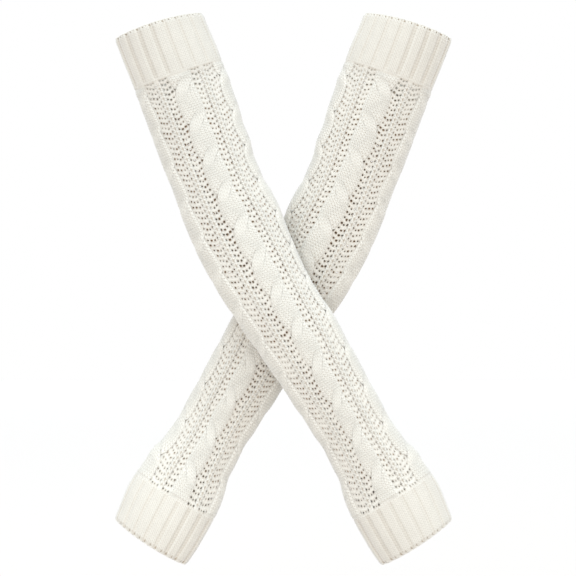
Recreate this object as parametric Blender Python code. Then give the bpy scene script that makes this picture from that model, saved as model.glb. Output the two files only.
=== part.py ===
"""A pair of cable-knit arm warmers, filled out as if worn and crossed in an X.

Each warmer is one knitted tube in three stretches: a ribbed elbow cuff, a cabled sleeve and a
ribbed wrist cuff. The stretches are walls about 1.6 mm thick round an empty hollow, open at both
rims. Four rope cables run down each sleeve, at the front, the back and towards both sides, with a
narrow raised rib halfway between them. The front warmer leans from upper left to lower right and passes
in front of the back one, which is its mirror image. The origin lies between the two where they
cross, +Z is up and the front faces -Y.
"""

import math

import bpy
from mathutils import Vector

# ---------------------------------------------------------------- sizes, in millimetres
SEAM_GAP = 0.3             # clear space between two stretches of one warmer
ELBOW_CUFF_LENGTH = 40.6   # from the elbow rim to the sleeve
WRIST_CUFF_START = 400.6   # from the elbow rim to where the wrist cuff begins
WALL = 1.6                 # cloth between the cables and ribs
RIM_LAP = 0.9              # how far the raised stitches stand past a cuff's ground
SLEEVE_LAP = 1.9           # how far the cables stand past the sleeve's ground, on average
FADE_LENGTH = 7.0          # a cable rises from flat cloth over this length at a cuff
ELBOW_RIM_ARCH = 1.9       # each rim stands out by this at the middle of its front and back
WRIST_RIM_ARCH = 1.2

RIBS = 17                  # ribs round a cuff, with narrow grooves between them
RIB_HEIGHT = 1.1
ELBOW_GROOVE_UNITS = 3.5   # where one groove lies, in units from the front
WRIST_GROOVE_UNITS = 0.5

ROUND_UNITS = 224.0        # the way round is measured in 224 equal units
CABLES = (0.0, 49.0, 112.0, 175.0)    # middles of the cables, in units from the front
RIDGES = (24.5, 80.5, 143.5, 199.5)   # middles of the raised ribs between them
CABLE_HALF_UNITS = 12.4    # from a cable's middle to its edge
CABLE_HEIGHT = 2.3         # the two strands side by side make one rounded panel this high
STRAND_HALF_UNITS = 6.4    # half the width of one strand
LANE_UNITS = 6.0           # side by side, the strands' middles lie this far from the cable's
CROSSING_SPAN = 0.17       # a strand changes sides over this share of a repeat, twice
CROSSING_REACH = 0.32      # and the panel's shape changes over this share, twice
CROSSING_LIFT = 0.6        # how far the upper strand rises where it passes over
CROSSING_DROP = 1.1        # and how far the lower one dips
UNIT_PER_MM = 1.4
RIDGE_HALF_UNITS = 3.2     # half the width of the raised rib between two cables
RIDGE_HEIGHT = 0.9

# Where points lie across a cable and its half of the ground on each side, in units.
CABLE_COLUMNS = (-12.4, -8.2, -4.1, 0.0, 4.1, 8.2, 12.4)
RIDGE_COLUMNS = (-3.2, 0.0, 3.2)
# Where points lie across one rib, as a share of its width from one groove to the next.
RIB_COLUMNS = (0.0, 0.15, 0.5, 0.85)

CROSSING_ROWS = (-0.17, -0.085, 0.0, 0.085, 0.17)    # rows near a crossing, in repeats
SLEEVE_INSIDE_ROWS = 16
CUFF_ROWS = 3
SLEEVE_INSIDE_COLUMNS = 24    # the inside is plain, so it needs fewer points
CUFF_INSIDE_COLUMNS = 34

# One row for each station down the front warmer, from the elbow rim to the wrist rim.
# down: distance from the elbow rim; x, z: middle of the tube; half_wide, half_deep: half its
# width and depth over the raised stitches; forward: how far it bows to the front; tilt: turn of
# the section from level, in degrees; roll: how far the front cable lies to the right of the
# middle; crossings: cable crossings above this station.
COLUMNS = ("down", "x", "z", "half_wide", "half_deep", "forward", "tilt", "roll", "crossings")
STATIONS = (
    (0.0, -94.0, 220.5, 34.7, 21.6, 0.5, 16.5, 1.5, -1.87),
    (20.5, -87.0, 201.4, 35.0, 22.2, 1.3, 18.2, 1.7, -1.14),
    (43.2, -78.9, 180.1, 35.0, 21.8, 2.8, 19.4, 1.9, -0.33),
    (73.6, -68.3, 151.4, 34.7, 21.4, 5.4, 19.8, 2.3, 0.74),
    (111.5, -55.5, 115.6, 33.5, 21.2, 9.4, 21.3, 2.7, 2.09),
    (149.4, -41.5, 80.2, 34.6, 21.3, 13.8, 23.5, 3.8, 3.43),
    (187.4, -26.1, 45.5, 34.5, 20.8, 17.6, 26.4, 6.0, 4.78),
    (217.7, -12.2, 18.6, 32.8, 20.0, 19.6, 29.2, 6.1, 5.85),
    (239.6, -0.2, -0.1, 31.7, 19.3, 20.1, 31.0, 4.2, 6.58),
    (263.2, 13.4, -19.2, 31.3, 18.9, 19.7, 31.4, 1.8, 7.33),
    (297.4, 30.8, -47.1, 29.6, 18.0, 17.4, 30.6, -1.3, 8.4),
    (331.5, 48.2, -76.4, 28.0, 17.4, 13.7, 30.0, -1.4, 9.49),
    (354.3, 59.7, -96.1, 27.6, 18.0, 10.7, 29.9, -2.0, 10.21),
    (377.0, 71.5, -115.5, 31.1, 19.4, 7.5, 30.0, -3.0, 10.94),
    (399.8, 82.2, -135.9, 34.8, 20.9, 4.6, 30.5, -3.4, 11.66),
    (421.8, 92.5, -155.4, 34.3, 21.3, 2.4, 31.6, -3.5, 12.36),
    (440.0, 100.9, -171.5, 32.5, 20.2, 1.2, 32.9, -3.5, 12.94),
)
WARMER_LENGTH = STATIONS[-1][0]

# side: +1 as measured, -1 mirrored left to right; bow: +1 bows to the front, -1 to the back.
WARMERS = {
    "front": {"side": 1, "bow": 1},
    "back": {"side": -1, "bow": -1},
}

CREAM = (0.855, 0.831, 0.761, 1.0)
PALE_CREAM = (0.839, 0.819, 0.757, 1.0)


# ---------------------------------------------------------------- the tube's course and sections
def slope_at(row, column):
    """How fast a column of the table changes at one of its rows."""
    before = STATIONS[max(row - 1, 0)]
    after = STATIONS[min(row + 1, len(STATIONS) - 1)]
    return (after[column] - before[column]) / (after[0] - before[0])


def station(down):
    """Every column of the table at any distance down the warmer, joined by smooth curves."""
    row = 0
    while row < len(STATIONS) - 2 and down > STATIONS[row + 1][0]:
        row += 1
    upper = STATIONS[row]
    lower = STATIONS[row + 1]
    span = lower[0] - upper[0]
    t = (down - upper[0]) / span
    found = {}
    for column, name in enumerate(COLUMNS):
        leaving = slope_at(row, column) * span
        arriving = slope_at(row + 1, column) * span
        found[name] = (
            upper[column] * (2 * t**3 - 3 * t**2 + 1)
            + leaving * (t**3 - 2 * t**2 + t)
            + lower[column] * (3 * t**2 - 2 * t**3)
            + arriving * (t**3 - t**2)
        )
    return found


def section_axes(down, bow):
    """The middle of a section, its axes to the right and to the front, and its arch."""
    here = station(down)
    middle = Vector((here["x"], -bow * here["forward"], here["z"]))
    tilt = math.radians(here["tilt"])
    right = Vector((math.cos(tilt), 0.0, math.sin(tilt)))
    front = Vector((0.0, -1.0, 0.0))
    near_elbow = max(0.0, 1 - down / ELBOW_CUFF_LENGTH)
    near_wrist = max(0.0, (down - WRIST_CUFF_START) / (WARMER_LENGTH - WRIST_CUFF_START))
    arch = ELBOW_RIM_ARCH * near_elbow**2 - WRIST_RIM_ARCH * near_wrist**2
    return middle, right, front, right.cross(front) * -arch


def oval_turns(half_wide, half_deep, steps=240):
    """Length round an oval from its front, up to each of a number of equal turns."""
    lengths = [0.0]
    last = (0.0, half_deep)
    for step in range(1, steps + 1):
        turn = 2 * math.pi * step / steps
        point = (half_wide * math.sin(turn), half_deep * math.cos(turn))
        lengths.append(lengths[-1] + math.dist(last, point))
        last = point
    return lengths


def turn_at(lengths, share):
    """The turn at which a share of the way round the oval is reached."""
    wanted = (share % 1.0) * lengths[-1]
    low = 0
    high = len(lengths) - 1
    while high - low > 1:
        between = (low + high) // 2
        if lengths[between] <= wanted:
            low = between
        else:
            high = between
    part = (wanted - lengths[low]) / (lengths[high] - lengths[low])
    return 2 * math.pi * (low + part) / (len(lengths) - 1)


# ---------------------------------------------------------------- what is raised on the cloth
def smooth_rise(value):
    """Rises from 0 to 1 with level ends."""
    value = min(max(value, 0.0), 1.0)
    return value * value * (3 - 2 * value)


def fade_at(down):
    """0 where a sleeve meets a cuff, 1 away from the cuffs."""
    from_elbow = (down - ELBOW_CUFF_LENGTH) / FADE_LENGTH
    from_wrist = (WRIST_CUFF_START - down) / FADE_LENGTH
    return smooth_rise(from_elbow) * smooth_rise(from_wrist)


def dome(offset):
    """A rounded hump: 1 in the middle, 0 at one and beyond."""
    return math.sqrt(max(0.0, 1.0 - offset * offset))


def cable_height(units, crossings):
    """Height of a two-strand cable, at units from its middle.

    The strands lie side by side as one panel, and at every crossing the right one passes over
    the left one.
    """
    panel = CABLE_HEIGHT * dome((units / CABLE_HALF_UNITS) ** 2)
    from_crossing = crossings - math.floor(crossings + 0.5)
    near = smooth_rise(1 - abs(from_crossing) / CROSSING_REACH)
    turn = math.pi / 2 * min(max(from_crossing / CROSSING_SPAN, -1.0), 1.0)
    # how far a strand moves sideways for each length it runs down the cable
    slope = LANE_UNITS / UNIT_PER_MM * math.pi / 2 * math.cos(turn) / (CROSSING_SPAN * 28.0)
    half = STRAND_HALF_UNITS * math.sqrt(1 + slope * slope)
    upper = (CABLE_HEIGHT + CROSSING_LIFT) * dome((units + LANE_UNITS * math.sin(turn)) / half)
    lower = (CABLE_HEIGHT - CROSSING_DROP) * dome((units - LANE_UNITS * math.sin(turn)) / half)
    return panel * (1 - near) + max(upper, lower) * near


def nearest_of(units, middles):
    """Distance round to the nearest of several middles, with its sign."""
    around = [(units - m + ROUND_UNITS / 2) % ROUND_UNITS - ROUND_UNITS / 2 for m in middles]
    return min(around, key=abs)


def sleeve_height(units, down, crossings):
    """Height of the sleeve's raised stitches above its ground."""
    from_ridge = nearest_of(units, RIDGES)
    ridge = RIDGE_HEIGHT * smooth_rise(1 - abs(from_ridge) / RIDGE_HALF_UNITS)
    return (cable_height(nearest_of(units, CABLES), crossings) + ridge) * fade_at(down)


def rib_height(share_of_rib):
    """Height of a cuff's rib, from one groove to the next."""
    from_middle = abs(share_of_rib % 1.0 - 0.5)
    return RIB_HEIGHT * smooth_rise((0.5 - from_middle) / 0.17)


# ---------------------------------------------------------------- rings of points
def ring_point(axes, half_wide, half_deep, turn, height):
    """A point of an oval section, moved out from it by the height."""
    middle, right, front, arch = axes
    middle = middle + arch * math.cos(turn) ** 2
    across = half_wide * math.sin(turn)
    ahead = half_deep * math.cos(turn)
    out = Vector((math.sin(turn) / half_wide, math.cos(turn) / half_deep)).normalized()
    return middle + right * (across + out.x * height) + front * (ahead + out.y * height)


def sleeve_columns():
    """Units round at which a sleeve's points lie, starting at the front cable's left edge."""
    columns = []
    for cable, ridge in zip(CABLES, RIDGES):
        columns.extend(cable + units for units in CABLE_COLUMNS)
        columns.append((cable + CABLE_COLUMNS[-1] + ridge + RIDGE_COLUMNS[0]) / 2)
        columns.extend(ridge + units for units in RIDGE_COLUMNS)
        following = 2 * ridge - cable
        columns.append((ridge + RIDGE_COLUMNS[-1] + following + CABLE_COLUMNS[0]) / 2)
    return columns


def sleeve_ring(down, bow):
    """The outside of a sleeve at one section."""
    here = station(down)
    lap = RIM_LAP + (SLEEVE_LAP - RIM_LAP) * fade_at(down)
    half_wide = here["half_wide"] - lap
    half_deep = here["half_deep"] - lap
    lengths = oval_turns(half_wide, half_deep)
    axes = section_axes(down, bow)
    ring = []
    for units in sleeve_columns():
        turn = turn_at(lengths, units / ROUND_UNITS + here["roll"] / lengths[-1])
        height = sleeve_height(units, down, here["crossings"])
        ring.append(ring_point(axes, half_wide, half_deep, turn, height))
    return ring


def cuff_ring(down, bow, groove_units):
    """The outside of a ribbed cuff at one section."""
    here = station(down)
    half_wide = here["half_wide"] - RIM_LAP
    half_deep = here["half_deep"] - RIM_LAP
    lengths = oval_turns(half_wide, half_deep)
    axes = section_axes(down, bow)
    ring = []
    for rib in range(RIBS):
        for column in RIB_COLUMNS:
            share = (rib + column) / RIBS + groove_units / ROUND_UNITS
            turn = turn_at(lengths, share + here["roll"] / lengths[-1])
            ring.append(ring_point(axes, half_wide, half_deep, turn, rib_height(column)))
    return ring


def inside_ring(down, bow, lap, columns):
    """The plain inside of the wall at one section."""
    here = station(down)
    half_wide = here["half_wide"] - lap - WALL
    half_deep = here["half_deep"] - lap - WALL
    lengths = oval_turns(half_wide, half_deep)
    axes = section_axes(down, bow)
    ring = []
    for column in range(columns):
        share = (column - 0.5) / columns
        turn = turn_at(lengths, share + here["roll"] / lengths[-1])
        ring.append(ring_point(axes, half_wide, half_deep, turn, 0.0))
    return ring


# ---------------------------------------------------------------- walls
def add_ring(points, ring):
    """Adds a ring's points and returns their numbers."""
    first = len(points)
    points.extend(ring)
    return list(range(first, len(points)))


def loft(faces, upper, lower):
    """Triangles between two like rings, their diagonals lying the way the strands lean."""
    count = len(upper)
    for i in range(count):
        j = (i + 1) % count
        faces.append((upper[i], lower[i], upper[j]))
        faces.append((upper[j], lower[i], lower[j]))


def bridge(faces, outside, inside):
    """Triangles across a rim, from the outside's many points to the inside's few."""
    ratio = len(outside) // len(inside)
    for i in range(len(inside)):
        j = (i + 1) % len(inside)
        first = i * ratio
        turn_over = first + (ratio + 1) // 2
        for step in range(first, first + ratio):
            held = inside[i] if step < turn_over else inside[j]
            faces.append((outside[step], outside[(step + 1) % len(outside)], held))
        faces.append((outside[turn_over % len(outside)], inside[j], inside[i]))


def evenly(start, end, steps):
    """Distances from start to end in equal steps."""
    return [start + (end - start) * step / steps for step in range(steps + 1)]


def sleeve_rows(start, end):
    """Distances down a sleeve's rings: close together where the strands cross."""
    rows = [start, start + FADE_LENGTH / 2, end - FADE_LENGTH / 2, end]
    first = math.ceil(station(start)["crossings"])
    last = math.floor(station(end)["crossings"])
    for crossing in range(first, last + 1):
        for share in CROSSING_ROWS:
            low = start
            high = end
            for _ in range(30):
                between = (low + high) / 2
                if station(between)["crossings"] < crossing + share:
                    low = between
                else:
                    high = between
            if start + 1.2 < low < end - 1.2:
                rows.append(low)
    rows.sort()
    return [rows[0]] + [b for a, b in zip(rows, rows[1:]) if b - a > 0.8]


def build_wall(name, warmer, outside_rings, inside_rings, colour, collection):
    """One closed wall, from its outside rings and its inside rings, elbow end first."""
    points = []
    faces = []
    outside = [add_ring(points, ring) for ring in outside_rings]
    inside = [add_ring(points, ring) for ring in inside_rings]
    for upper, lower in zip(outside, outside[1:]):
        loft(faces, upper, lower)
    for upper, lower in zip(inside, inside[1:]):
        loft(faces, lower, upper)
    for outer, inner, turned in (
        (outside[0], inside[0], False),
        (outside[-1], inside[-1], True),
    ):
        rim = []
        bridge(rim, outer, inner)
        faces.extend(face[::-1] if turned else face for face in rim)
    side = warmer["side"]
    if side < 0:
        faces = [face[::-1] for face in faces]
    verts = [(side * p.x * 0.001, p.y * 0.001, p.z * 0.001) for p in points]
    mesh = bpy.data.meshes.new(name)
    mesh.from_pydata(verts, [], faces)
    mesh.validate()
    mesh.materials.append(knit_material(name + "_yarn", colour))
    wall = bpy.data.objects.new(name, mesh)
    collection.objects.link(wall)
    return wall


def build_sleeve(name, warmer, colour, collection):
    """The cabled stretch between the cuffs."""
    start = ELBOW_CUFF_LENGTH + SEAM_GAP / 2
    end = WRIST_CUFF_START - SEAM_GAP / 2
    bow = warmer["bow"]
    outside = [sleeve_ring(down, bow) for down in sleeve_rows(start, end)]
    inside = []
    for down in evenly(start, end, SLEEVE_INSIDE_ROWS):
        lap = RIM_LAP + (SLEEVE_LAP - RIM_LAP) * fade_at(down)
        inside.append(inside_ring(down, bow, lap, SLEEVE_INSIDE_COLUMNS))
    return build_wall(name, warmer, outside, inside, colour, collection)


def build_cuff(name, warmer, start, end, groove_units, colour, collection):
    """A ribbed stretch from a sleeve's end to a rim."""
    bow = warmer["bow"]
    outside = []
    inside = []
    for down in evenly(start, end, CUFF_ROWS):
        outside.append(cuff_ring(down, bow, groove_units))
        inside.append(inside_ring(down, bow, RIM_LAP, CUFF_INSIDE_COLUMNS))
    return build_wall(name, warmer, outside, inside, colour, collection)


def knit_material(name, colour):
    """Matt wool-like yarn."""
    material = bpy.data.materials.new(name)
    material.use_nodes = True
    shader = material.node_tree.nodes["Principled BSDF"]
    shader.inputs["Base Color"].default_value = colour
    shader.inputs["Roughness"].default_value = 0.9
    shader.inputs["Metallic"].default_value = 0.0
    material.diffuse_color = colour
    return material


def main():
    for thing in list(bpy.data.objects):
        bpy.data.objects.remove(thing, do_unlink=True)
    collection = bpy.data.collections.new("cable_knit_arm_warmers")
    bpy.context.scene.collection.children.link(collection)
    for place, warmer in WARMERS.items():
        colour = CREAM if place == "front" else PALE_CREAM
        elbow_end = ELBOW_CUFF_LENGTH - SEAM_GAP / 2
        wrist_start = WRIST_CUFF_START + SEAM_GAP / 2
        build_cuff(
            place + "_elbow_cuff", warmer, 0.0, elbow_end, ELBOW_GROOVE_UNITS, colour, collection
        )
        build_sleeve(place + "_cabled_sleeve", warmer, colour, collection)
        build_cuff(
            place + "_wrist_cuff", warmer, wrist_start, WARMER_LENGTH, WRIST_GROOVE_UNITS,
            colour, collection,
        )
    for thing in collection.objects:
        size = thing.dimensions
        print(thing.name, len(thing.data.polygons), [round(v * 1000, 1) for v in size])


main()
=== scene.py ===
# %% [markdown]
# # A pair of cable-knit arm warmers
# Each warmer is one knitted tube: a ribbed cuff at the elbow, a long sleeve of rope cables and
# lace, and a ribbed cuff at the wrist. The pair is filled out as if worn and crossed in an X.
# The frame loaded here holds its plain walls, and every piece below is shaped by the same sizes.

# %% Load the frame
import math

import bmesh
import bpy
import numpy as np
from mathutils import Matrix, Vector


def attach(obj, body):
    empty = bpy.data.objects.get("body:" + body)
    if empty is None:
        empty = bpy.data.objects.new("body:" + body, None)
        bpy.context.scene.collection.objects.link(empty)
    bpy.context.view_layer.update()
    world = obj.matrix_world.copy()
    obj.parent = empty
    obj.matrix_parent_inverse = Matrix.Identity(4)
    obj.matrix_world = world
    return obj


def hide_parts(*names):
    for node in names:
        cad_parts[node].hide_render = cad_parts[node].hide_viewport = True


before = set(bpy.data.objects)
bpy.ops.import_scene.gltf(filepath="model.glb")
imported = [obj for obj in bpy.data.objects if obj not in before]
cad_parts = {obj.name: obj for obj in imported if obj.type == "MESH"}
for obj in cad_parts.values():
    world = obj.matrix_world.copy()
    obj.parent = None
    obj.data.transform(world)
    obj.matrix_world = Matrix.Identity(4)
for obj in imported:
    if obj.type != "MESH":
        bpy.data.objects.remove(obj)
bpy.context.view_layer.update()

print("walls in the frame:", sorted(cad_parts))

# %% [markdown]
# ## The course of the tube
# A tailor measures a sleeve at a few places and draws smooth curves between them. So does this
# table: one row for each place down the warmer, in millimetres and degrees. The same numbers
# build the walls, so the cloth lies exactly on them.

# %% Measurements down the warmer
COLUMNS = ("down", "x", "z", "half_wide", "half_deep", "forward", "tilt", "roll", "crossings")
STATIONS = np.array((
    (0.0, -94.0, 220.5, 34.7, 21.6, 0.5, 16.5, 1.5, -1.87),
    (20.5, -87.0, 201.4, 35.0, 22.2, 1.3, 18.2, 1.7, -1.14),
    (43.2, -78.9, 180.1, 35.0, 21.8, 2.8, 19.4, 1.9, -0.33),
    (73.6, -68.3, 151.4, 34.7, 21.4, 5.4, 19.8, 2.3, 0.74),
    (111.5, -55.5, 115.6, 33.5, 21.2, 9.4, 21.3, 2.7, 2.09),
    (149.4, -41.5, 80.2, 34.6, 21.3, 13.8, 23.5, 3.8, 3.43),
    (187.4, -26.1, 45.5, 34.5, 20.8, 17.6, 26.4, 6.0, 4.78),
    (217.7, -12.2, 18.6, 32.8, 20.0, 19.6, 29.2, 6.1, 5.85),
    (239.6, -0.2, -0.1, 31.7, 19.3, 20.1, 31.0, 4.2, 6.58),
    (263.2, 13.4, -19.2, 31.3, 18.9, 19.7, 31.4, 1.8, 7.33),
    (297.4, 30.8, -47.1, 29.6, 18.0, 17.4, 30.6, -1.3, 8.4),
    (331.5, 48.2, -76.4, 28.0, 17.4, 13.7, 30.0, -1.4, 9.49),
    (354.3, 59.7, -96.1, 27.6, 18.0, 10.7, 29.9, -2.0, 10.21),
    (377.0, 71.5, -115.5, 31.1, 19.4, 7.5, 30.0, -3.0, 10.94),
    (399.8, 82.2, -135.9, 34.8, 20.9, 4.6, 30.5, -3.4, 11.66),
    (421.8, 92.5, -155.4, 34.3, 21.3, 2.4, 31.6, -3.5, 12.36),
    (440.0, 100.9, -171.5, 32.5, 20.2, 1.2, 32.9, -3.5, 12.94),
))
# worn cloth is never quite even: by how many mm its upper and its lower edge belly out
BULGE = np.array((
    (0, -0.9, 0.7), (14, -0.8, 0.1), (28, -0.1, -0.4), (40, -0.3, -0.6), (46, -0.5, -0.4),
    (54, 0.5, -0.2), (64, -0.2, -0.3), (82, 0.1, 0.2), (91, -0.4, 0.3), (106, 0.8, 0.7),
    (118, -0.8, 0.0), (130, -0.8, 0.0), (138, -1.0, 0.4), (147, 0.4, 0.2), (158, 1.2, 0.4),
    (166, 1.2, 0.7), (180, 0.3, 0.2), (190, 0.0, 0.4), (210, 0.0, -0.1), (260, 0.0, -0.1),
    (281, -0.9, -0.1), (292, -0.4, -0.1), (304, -0.5, 0.4), (316, -0.6, -0.2), (330, 0.0, 0.2),
    (340, -0.2, -0.4), (358, 0.3, 0.4), (369, -0.3, -0.5), (378, 1.4, 0.4), (388, 0.0, 0.5),
    (398, -0.4, -0.6), (412, 0.2, -0.8), (426, -0.3, -0.6), (440, -0.1, -0.8),
))
LENGTH = 440.0  # elbow rim to wrist rim
ELBOW_CUFF_END = 40.6
WRIST_CUFF_START = 400.6
ROUND_UNITS = 224.0  # the way round a sleeve is counted in 224 units
CABLES = (0.0, 48.0, 112.0, 175.0)  # middles of the rope cables, in units from the front
RIDGES = (22.9, 80.0, 143.5, 201.1)  # middles of the ridges between them
WARMERS = {"front": (1, 1), "back": (-1, -1)}  # side (-1 is mirrored), bow to the front


def read_table(table, place):
    """Every column of a table at an array of places in its first column, joined smoothly."""
    rows = len(table)
    before = table[np.maximum(np.arange(rows) - 1, 0)]
    after = table[np.minimum(np.arange(rows) + 1, rows - 1)]
    slopes = (after - before) / (after[:, :1] - before[:, :1])
    row = np.clip(np.searchsorted(table[:, 0], place, side="right") - 1, 0, rows - 2)
    span = table[row + 1, 0] - table[row, 0]
    t = ((place - table[row, 0]) / span)[:, None]
    span = span[:, None]
    found = (
        table[row] * (2 * t**3 - 3 * t**2 + 1)
        + slopes[row] * span * (t**3 - 2 * t**2 + t)
        + table[row + 1] * (3 * t**2 - 2 * t**3)
        + slopes[row + 1] * span * (t**3 - t**2)
    )
    return found.T


def course(down):
    """Every measurement at an array of distances down a warmer."""
    return dict(zip(COLUMNS, read_table(STATIONS, down)))


def uphill(units):
    """1 on the tube's upper edge, 0 in the middle of its front and back, -1 on its lower edge."""
    return np.sin(units / ROUND_UNITS * 2 * math.pi)


def facing_out(quads, warmer, side=1):
    """Quads turned round where they are mirrored and would face into the tube."""
    return quads[:, ::-1] if side * WARMERS[warmer][0] < 0 else quads


print("half width halfway down:", course(np.array([220.0]))["half_wide"].round(1), "mm")

# %% [markdown]
# ## From a flat chart onto the tube
# Knitting is planned on a flat chart and becomes a tube on the needles. Here too each piece is a
# flat chart first, and every point is then carried onto the oval tube. A point says how far down
# the warmer it is, how many units round, and how high it stands.

# %% Onto the tube
CUFF_INSET = 0.9  # heights count from this far inside a cuff's measured outline
SLEEVE_INSET = 1.9  # and from this far inside a sleeve's
FADE_LENGTH = 7.0  # cables rise from flat cloth over this length at a cuff
ELBOW_RIM_ARCH = 1.9
WRIST_RIM_ARCH = 1.2


def smooth_rise(value):
    """Rises from 0 to 1 with level ends."""
    value = np.clip(value, 0.0, 1.0)
    return value * value * (3 - 2 * value)


def fade_at(down):
    """0 where a sleeve meets a cuff, 1 away from the cuffs."""
    from_elbow = (down - ELBOW_CUFF_END) / FADE_LENGTH
    from_wrist = (WRIST_CUFF_START - down) / FADE_LENGTH
    return smooth_rise(from_elbow) * smooth_rise(from_wrist)


def inset_at(down):
    """How far inside the measured outline the height is 0."""
    return CUFF_INSET + (SLEEVE_INSET - CUFF_INSET) * fade_at(down)


# each oval is walked once in fine steps: its girth, and the turn at each share of the girth
TABLE_STEP = 2.0  # mm
TABLE_DOWNS = np.arange(0.0, LENGTH + 1, TABLE_STEP)
TABLE_SHARES = np.linspace(0.0, 1.0, 361)
FINE_TURNS = np.linspace(0.0, 2 * math.pi, 1441)
TURNS = np.empty((len(TABLE_DOWNS), len(TABLE_SHARES)))
GIRTHS = np.empty(len(TABLE_DOWNS))
ovals = course(TABLE_DOWNS)
for i, inset in enumerate(inset_at(TABLE_DOWNS)):
    across = (ovals["half_wide"][i] - inset) * np.sin(FINE_TURNS)
    ahead = (ovals["half_deep"][i] - inset) * np.cos(FINE_TURNS)
    along = np.concatenate(([0.0], np.cumsum(np.hypot(np.diff(across), np.diff(ahead)))))
    GIRTHS[i] = along[-1]
    TURNS[i] = np.interp(TABLE_SHARES, along / along[-1], FINE_TURNS)


def turn_at(down, share):
    """The turn round the oval at which a share of its girth is reached."""
    whole = np.floor(share)
    column = (share - whole) * (len(TABLE_SHARES) - 1)
    left = np.clip(column.astype(int), 0, len(TABLE_SHARES) - 2)
    # just short of the last row, which has none after it
    row = np.clip(down / TABLE_STEP, 0, len(TABLE_DOWNS) - 1.0001)
    top = row.astype(int)
    a, b = column - left, row - top
    upper = TURNS[top, left] * (1 - a) + TURNS[top, left + 1] * a
    lower = TURNS[top + 1, left] * (1 - a) + TURNS[top + 1, left + 1] * a
    return upper * (1 - b) + lower * b + 2 * math.pi * whole


def girth_at(down):
    """The way round the ground cloth, in mm."""
    return np.interp(down, TABLE_DOWNS, GIRTHS)


def onto_tube(down, units, height, warmer):
    """Points of a chart carried onto a warmer, in metres."""
    side, bow = WARMERS[warmer]
    down = np.clip(down, 0.0, LENGTH)
    here = course(down)
    turn = turn_at(down, units / ROUND_UNITS + here["roll"] / girth_at(down))
    half_wide = here["half_wide"] - inset_at(down)
    half_deep = here["half_deep"] - inset_at(down)
    out_x, out_y = np.sin(turn) / half_wide, np.cos(turn) / half_deep
    size = np.hypot(out_x, out_y)
    across = half_wide * np.sin(turn) + height * out_x / size
    ahead = half_deep * np.cos(turn) + height * out_y / size
    upper, lower = read_table(BULGE, down)[1:]
    across = across + np.where(across > 0, upper, -lower) * np.sin(turn) ** 2
    tilt = np.radians(here["tilt"])
    near_elbow = np.clip(1 - down / ELBOW_CUFF_END, 0, 1)
    near_wrist = np.clip((down - WRIST_CUFF_START) / (LENGTH - WRIST_CUFF_START), 0, 1)
    arch = (ELBOW_RIM_ARCH * near_elbow**2 - WRIST_RIM_ARCH * near_wrist**2) * np.cos(turn) ** 2
    x = here["x"] + across * np.cos(tilt) - arch * np.sin(tilt)
    y = -bow * here["forward"] - ahead
    z = here["z"] + across * np.sin(tilt) + arch * np.cos(tilt)
    return np.stack((side * x, y, z), axis=1) * 0.001


print("girth", GIRTHS.min().round(1), "to", GIRTHS.max().round(1), "mm")

# %% [markdown]
# ## Yarn
# The yarn is soft undyed wool: matt, a little hairy and slightly uneven. Each colour is a hex
# value, as a colour picker shows it, and is turned to linear light in one place. Less light comes
# back from between the stitches, so the cloth carries a number called groove: 0 on top of the
# yarn, 0.5 deep between stitches, and 1 inside the tube, where bounced light is warmer.


# %% Yarn material
def from_hex(value):
    """An sRGB hex colour as the linear colour Blender works in."""
    parts = [int(value[i:i + 2], 16) / 255 for i in (1, 3, 5)]
    return [p / 12.92 if p <= 0.04045 else ((p + 0.055) / 1.055) ** 2.4 for p in parts] + [1.0]


def add_node(tree, kind, settings=None, values=None, links=()):
    """Adds a node with its settings, its input values and links from other sockets."""
    node = tree.nodes.new(kind)
    for name, value in (settings or {}).items():
        setattr(node, name, value)
    for socket, value in (values or {}).items():
        node.inputs[socket].default_value = value
    for source, socket in links:
        tree.links.new(source, node.inputs[socket])
    return node


def maths(tree, operation, first, second, kind=""):
    """One sum of numbers or, by kind, of vectors; terms are sockets or plain values."""
    node = add_node(tree, f"ShaderNode{kind}Math", {"operation": operation})
    for term, socket in ((first, 0), (second, "Scale" if operation == "SCALE" else 1)):
        if isinstance(term, bpy.types.NodeSocket):
            tree.links.new(term, node.inputs[socket])
        else:
            node.inputs[socket].default_value = term
    return node.outputs[0]


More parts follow.
